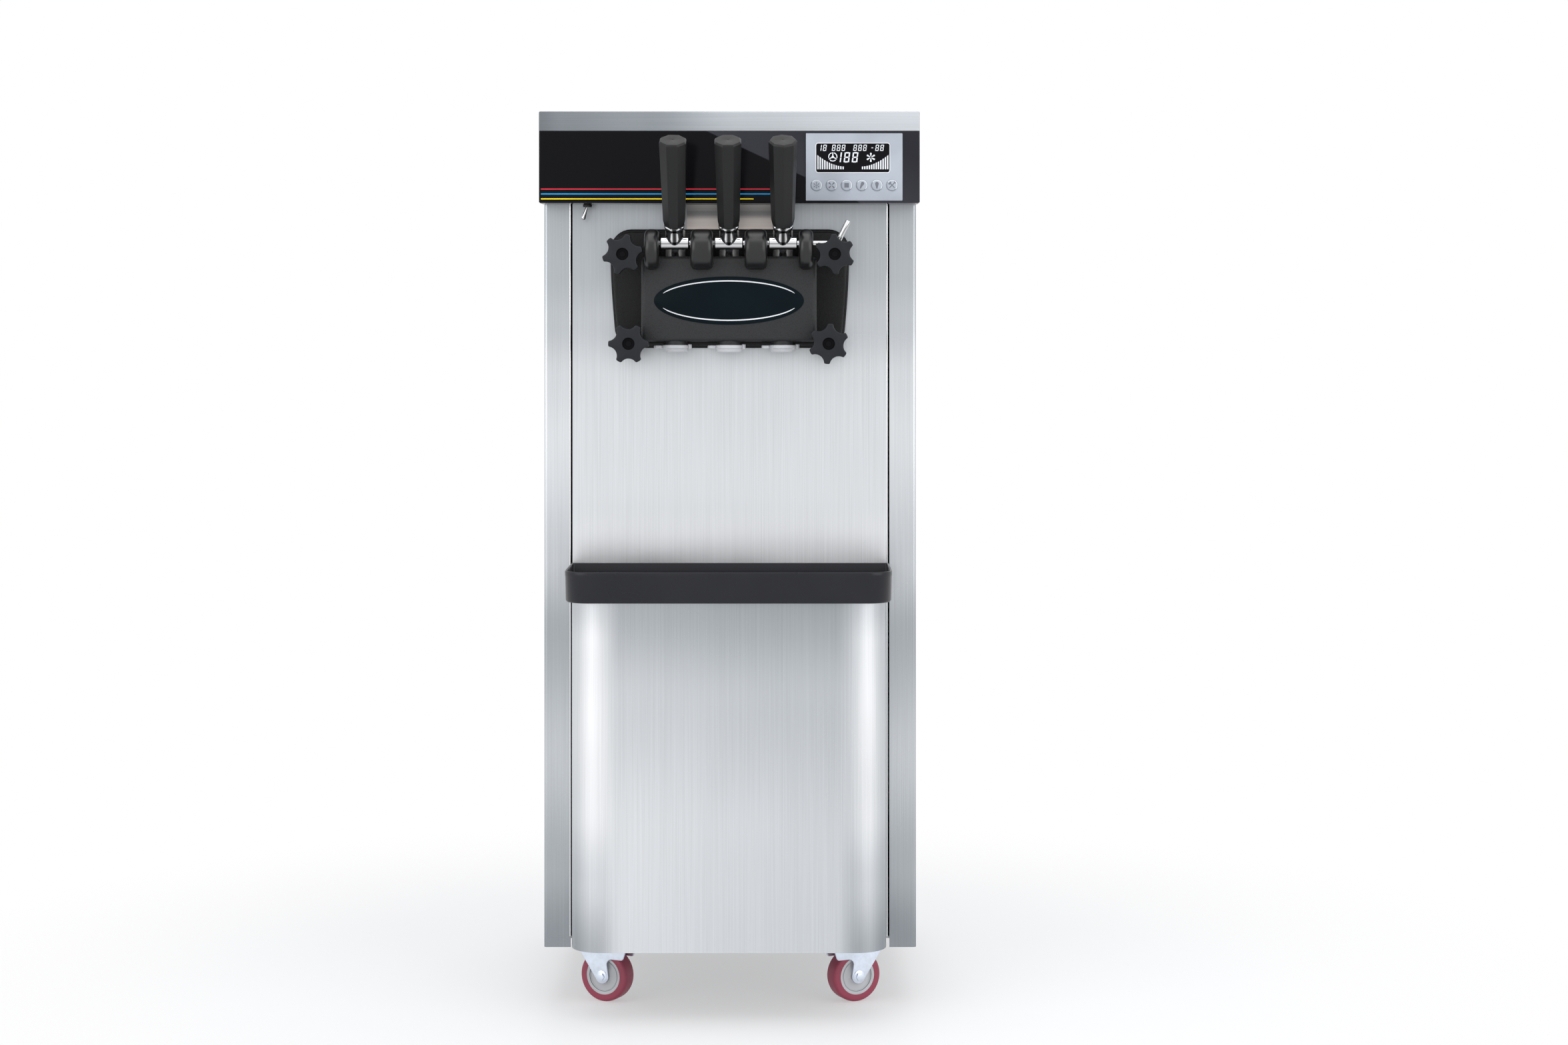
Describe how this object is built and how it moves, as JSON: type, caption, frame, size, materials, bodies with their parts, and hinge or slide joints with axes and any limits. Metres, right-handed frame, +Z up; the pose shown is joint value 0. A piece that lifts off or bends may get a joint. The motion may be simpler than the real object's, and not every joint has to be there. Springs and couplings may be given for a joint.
{
  "type": "soft serve machine",
  "caption": "Floor-standing soft serve machine with pull levers over a drip tray, a stainless cabinet, mix hoppers under a lift-off lid, a control panel and swivel casters.",
  "frame": {"origin": "on the floor, under the middle of the bounding box", "axes": "+Z up, the levers and drip tray face -Y, +X to the right of someone facing the machine"},
  "size_m": [0.54, 0.7186, 1.28],
  "materials": {
    "stainless": "brushed",
    "chrome": "polished",
    "black_moulding": "satin grain",
    "gloss_black": "gloss",
    "keypad": "satin",
    "white_plastic": "satin",
    "zinc": "bright zinc",
    "tread": "matte",
    "base_steel": "galvanised",
    "machine_paint": "satin",
    "fins": "bare"
  },
  "bodies": {
    "cabinet": {"base_frame": "base_steel", "side_panel_left": "stainless", "side_panel_right": "stainless", "rear_panel": "stainless", "front_panel": "stainless", "lower_front_panel": "stainless", "hopper_deck": "stainless", "hopper_left": "stainless", "hopper_right": "stainless", "fascia": "gloss_black", "control_panel": "keypad", "freezing_cylinders": "stainless", "gear_motor": "machine_paint", "compressor": "machine_paint", "condenser": "fins", "valve_block": "black_moulding", "front_left_caster_plate": "zinc", "front_right_caster_plate": "zinc", "rear_left_caster_plate": "zinc", "rear_right_caster_plate": "zinc"},
    "lid": {"top_lid": "stainless"},
    "tray": {"drip_tray": "black_moulding"},
    "grid": {"drip_grid": "black_moulding"},
    "pin": {"pivot_pin": "chrome"},
    "toggle": {"toggle_switch": "chrome"},
    "fan": {"condenser_fan": "black_moulding"},
    "beater_left": {"beater_left": "stainless"},
    "beater_right": {"beater_right": "stainless"},
    "lever_left": {"lever_arm_left": "chrome", "lever_grip_left": "black_moulding"},
    "plunger_left": {"plunger_left": "stainless"},
    "cap_left": {"nozzle_cap_left": "white_plastic"},
    "lever_middle": {"lever_arm_middle": "chrome", "lever_grip_middle": "black_moulding"},
    "plunger_middle": {"plunger_middle": "stainless"},
    "cap_middle": {"nozzle_cap_middle": "white_plastic"},
    "lever_right": {"lever_arm_right": "chrome", "lever_grip_right": "black_moulding"},
    "plunger_right": {"plunger_right": "stainless"},
    "cap_right": {"nozzle_cap_right": "white_plastic"},
    "knob_top_left": {"star_knob_top_left": "black_moulding"},
    "knob_top_right": {"star_knob_top_right": "black_moulding"},
    "knob_bottom_left": {"star_knob_bottom_left": "black_moulding"},
    "knob_bottom_right": {"star_knob_bottom_right": "black_moulding"},
    "button_1": {"button_1": "keypad"},
    "button_2": {"button_2": "keypad"},
    "button_3": {"button_3": "keypad"},
    "button_4": {"button_4": "keypad"},
    "button_5": {"button_5": "keypad"},
    "button_6": {"button_6": "keypad"},
    "front_left_fork": {"front_left_caster_fork": "zinc"},
    "front_left_wheel": {"front_left_caster_wheel": "tread"},
    "front_right_fork": {"front_right_caster_fork": "zinc"},
    "front_right_wheel": {"front_right_caster_wheel": "tread"},
    "rear_left_fork": {"rear_left_caster_fork": "zinc"},
    "rear_left_wheel": {"rear_left_caster_wheel": "tread"},
    "rear_right_fork": {"rear_right_caster_fork": "zinc"},
    "rear_right_wheel": {"rear_right_caster_wheel": "tread"}
  },
  "joints": [
    {"name": "lid_lift", "type": "slide", "parent": "cabinet", "child": "lid", "axis": [0, 0, 1], "range_m": [0, 0.15]},
    {"name": "tray_lift", "type": "slide", "parent": "cabinet", "child": "tray", "axis": [0, 0, 1], "range_m": [0, 0.06]},
    {"name": "grid_lift", "type": "slide", "parent": "tray", "child": "grid", "axis": [0, 0, 1], "range_m": [0, 0.05]},
    {"name": "pin_draw", "type": "slide", "parent": "cabinet", "child": "pin", "axis": [1, 0, 0], "range_m": [0, 0.25]},
    {"name": "toggle_flip", "type": "hinge", "parent": "cabinet", "child": "toggle", "pos_m": [-0.203, -0.20317, 1.14775], "axis": [0, -1, 0], "range_deg": [0, 35]},
    {"name": "lever_left_pull", "type": "hinge", "parent": "cabinet", "child": "lever_left", "pos_m": [-0.076, -0.26816, 1.092], "axis": [1, 0, 0], "range_deg": [0, 55]},
    {"name": "plunger_left_lift", "type": "slide", "parent": "cabinet", "child": "plunger_left", "axis": [0, 0, 1], "range_m": [0, 0.02623]},
    {"name": "cap_left_turn", "type": "hinge", "parent": "cabinet", "child": "cap_left", "pos_m": [-0.076, -0.24316, 0.9389], "axis": [0, 0, 1], "range_deg": [0, 60]},
    {"name": "lever_middle_pull", "type": "hinge", "parent": "cabinet", "child": "lever_middle", "pos_m": [0, -0.26816, 1.092], "axis": [1, 0, 0], "range_deg": [0, 55]},
    {"name": "plunger_middle_lift", "type": "slide", "parent": "cabinet", "child": "plunger_middle", "axis": [0, 0, 1], "range_m": [0, 0.02623]},
    {"name": "cap_middle_turn", "type": "hinge", "parent": "cabinet", "child": "cap_middle", "pos_m": [0, -0.24316, 0.9389], "axis": [0, 0, 1], "range_deg": [0, 60]},
    {"name": "lever_right_pull", "type": "hinge", "parent": "cabinet", "child": "lever_right", "pos_m": [0.076, -0.26816, 1.092], "axis": [1, 0, 0], "range_deg": [0, 55]},
    {"name": "plunger_right_lift", "type": "slide", "parent": "cabinet", "child": "plunger_right", "axis": [0, 0, 1], "range_m": [0, 0.02623]},
    {"name": "cap_right_turn", "type": "hinge", "parent": "cabinet", "child": "cap_right", "pos_m": [0.076, -0.24316, 0.9389], "axis": [0, 0, 1], "range_deg": [0, 60]},
    {"name": "knob_top_left_turn", "type": "hinge", "parent": "cabinet", "child": "knob_top_left", "pos_m": [-0.1485, -0.27316, 1.0765], "axis": [0, -1, 0], "continuous": true},
    {"name": "knob_top_right_turn", "type": "hinge", "parent": "cabinet", "child": "knob_top_right", "pos_m": [0.1485, -0.27316, 1.0765], "axis": [0, -1, 0], "continuous": true},
    {"name": "knob_bottom_left_turn", "type": "hinge", "parent": "cabinet", "child": "knob_bottom_left", "pos_m": [-0.14, -0.27316, 0.951], "axis": [0, -1, 0], "continuous": true},
    {"name": "knob_bottom_right_turn", "type": "hinge", "parent": "cabinet", "child": "knob_bottom_right", "pos_m": [0.14, -0.27316, 0.951], "axis": [0, -1, 0], "continuous": true},
    {"name": "button_1_press", "type": "slide", "parent": "cabinet", "child": "button_1", "axis": [0, 1, 0], "range_m": [0, 0.001], "stiffness_N_per_m": 300},
    {"name": "button_2_press", "type": "slide", "parent": "cabinet", "child": "button_2", "axis": [0, 1, 0], "range_m": [0, 0.001], "stiffness_N_per_m": 300},
    {"name": "button_3_press", "type": "slide", "parent": "cabinet", "child": "button_3", "axis": [0, 1, 0], "range_m": [0, 0.001], "stiffness_N_per_m": 300},
    {"name": "button_4_press", "type": "slide", "parent": "cabinet", "child": "button_4", "axis": [0, 1, 0], "range_m": [0, 0.001], "stiffness_N_per_m": 300},
    {"name": "button_5_press", "type": "slide", "parent": "cabinet", "child": "button_5", "axis": [0, 1, 0], "range_m": [0, 0.001], "stiffness_N_per_m": 300},
    {"name": "button_6_press", "type": "slide", "parent": "cabinet", "child": "button_6", "axis": [0, 1, 0], "range_m": [0, 0.001], "stiffness_N_per_m": 300},
    {"name": "fan_spin", "type": "hinge", "parent": "cabinet", "child": "fan", "pos_m": [0.08, 0.25933, 0.2276], "axis": [0, -1, 0], "continuous": true},
    {"name": "beater_left_spin", "type": "hinge", "parent": "cabinet", "child": "beater_left", "pos_m": [-0.076, -0.07316, 1.029], "axis": [0, -1, 0], "continuous": true},
    {"name": "beater_right_spin", "type": "hinge", "parent": "cabinet", "child": "beater_right", "pos_m": [0.076, -0.07316, 1.029], "axis": [0, -1, 0], "continuous": true},
    {"name": "front_left_swivel", "type": "hinge", "parent": "cabinet", "child": "front_left_fork", "pos_m": [-0.196, -0.13817, 0.0807], "axis": [0, 0, 1], "continuous": true},
    {"name": "front_left_roll", "type": "hinge", "parent": "front_left_fork", "child": "front_left_wheel", "pos_m": [-0.17787, -0.14662, 0.0375], "axis": [0.4226, 0.9063, 0], "continuous": true},
    {"name": "front_right_swivel", "type": "hinge", "parent": "cabinet", "child": "front_right_fork", "pos_m": [0.196, -0.13817, 0.0807], "axis": [0, 0, 1], "continuous": true},
    {"name": "front_right_roll", "type": "hinge", "parent": "front_right_fork", "child": "front_right_wheel", "pos_m": [0.17787, -0.14662, 0.0375], "axis": [0.4226, -0.9063, 0], "continuous": true},
    {"name": "rear_left_swivel", "type": "hinge", "parent": "cabinet", "child": "rear_left_fork", "pos_m": [-0.196, 0.28184, 0.0807], "axis": [0, 0, 1], "continuous": true},
    {"name": "rear_left_roll", "type": "hinge", "parent": "rear_left_fork", "child": "rear_left_wheel", "pos_m": [-0.196, 0.30184, 0.0375], "axis": [-1, 0, 0], "continuous": true},
    {"name": "rear_right_swivel", "type": "hinge", "parent": "cabinet", "child": "rear_right_fork", "pos_m": [0.196, 0.28184, 0.0807], "axis": [0, 0, 1], "continuous": true},
    {"name": "rear_right_roll", "type": "hinge", "parent": "rear_right_fork", "child": "rear_right_wheel", "pos_m": [0.196, 0.30184, 0.0375], "axis": [-1, 0, 0], "continuous": true}
  ],
  "couplings": [
    {"joint": "plunger_left_lift", "follows": "lever_left_pull", "m_per_rad": 0.027115},
    {"joint": "plunger_middle_lift", "follows": "lever_middle_pull", "m_per_rad": 0.027115},
    {"joint": "plunger_right_lift", "follows": "lever_right_pull", "m_per_rad": 0.027115},
    {"joint": "beater_right_spin", "follows": "beater_left_spin", "ratio": -1}
  ]
}
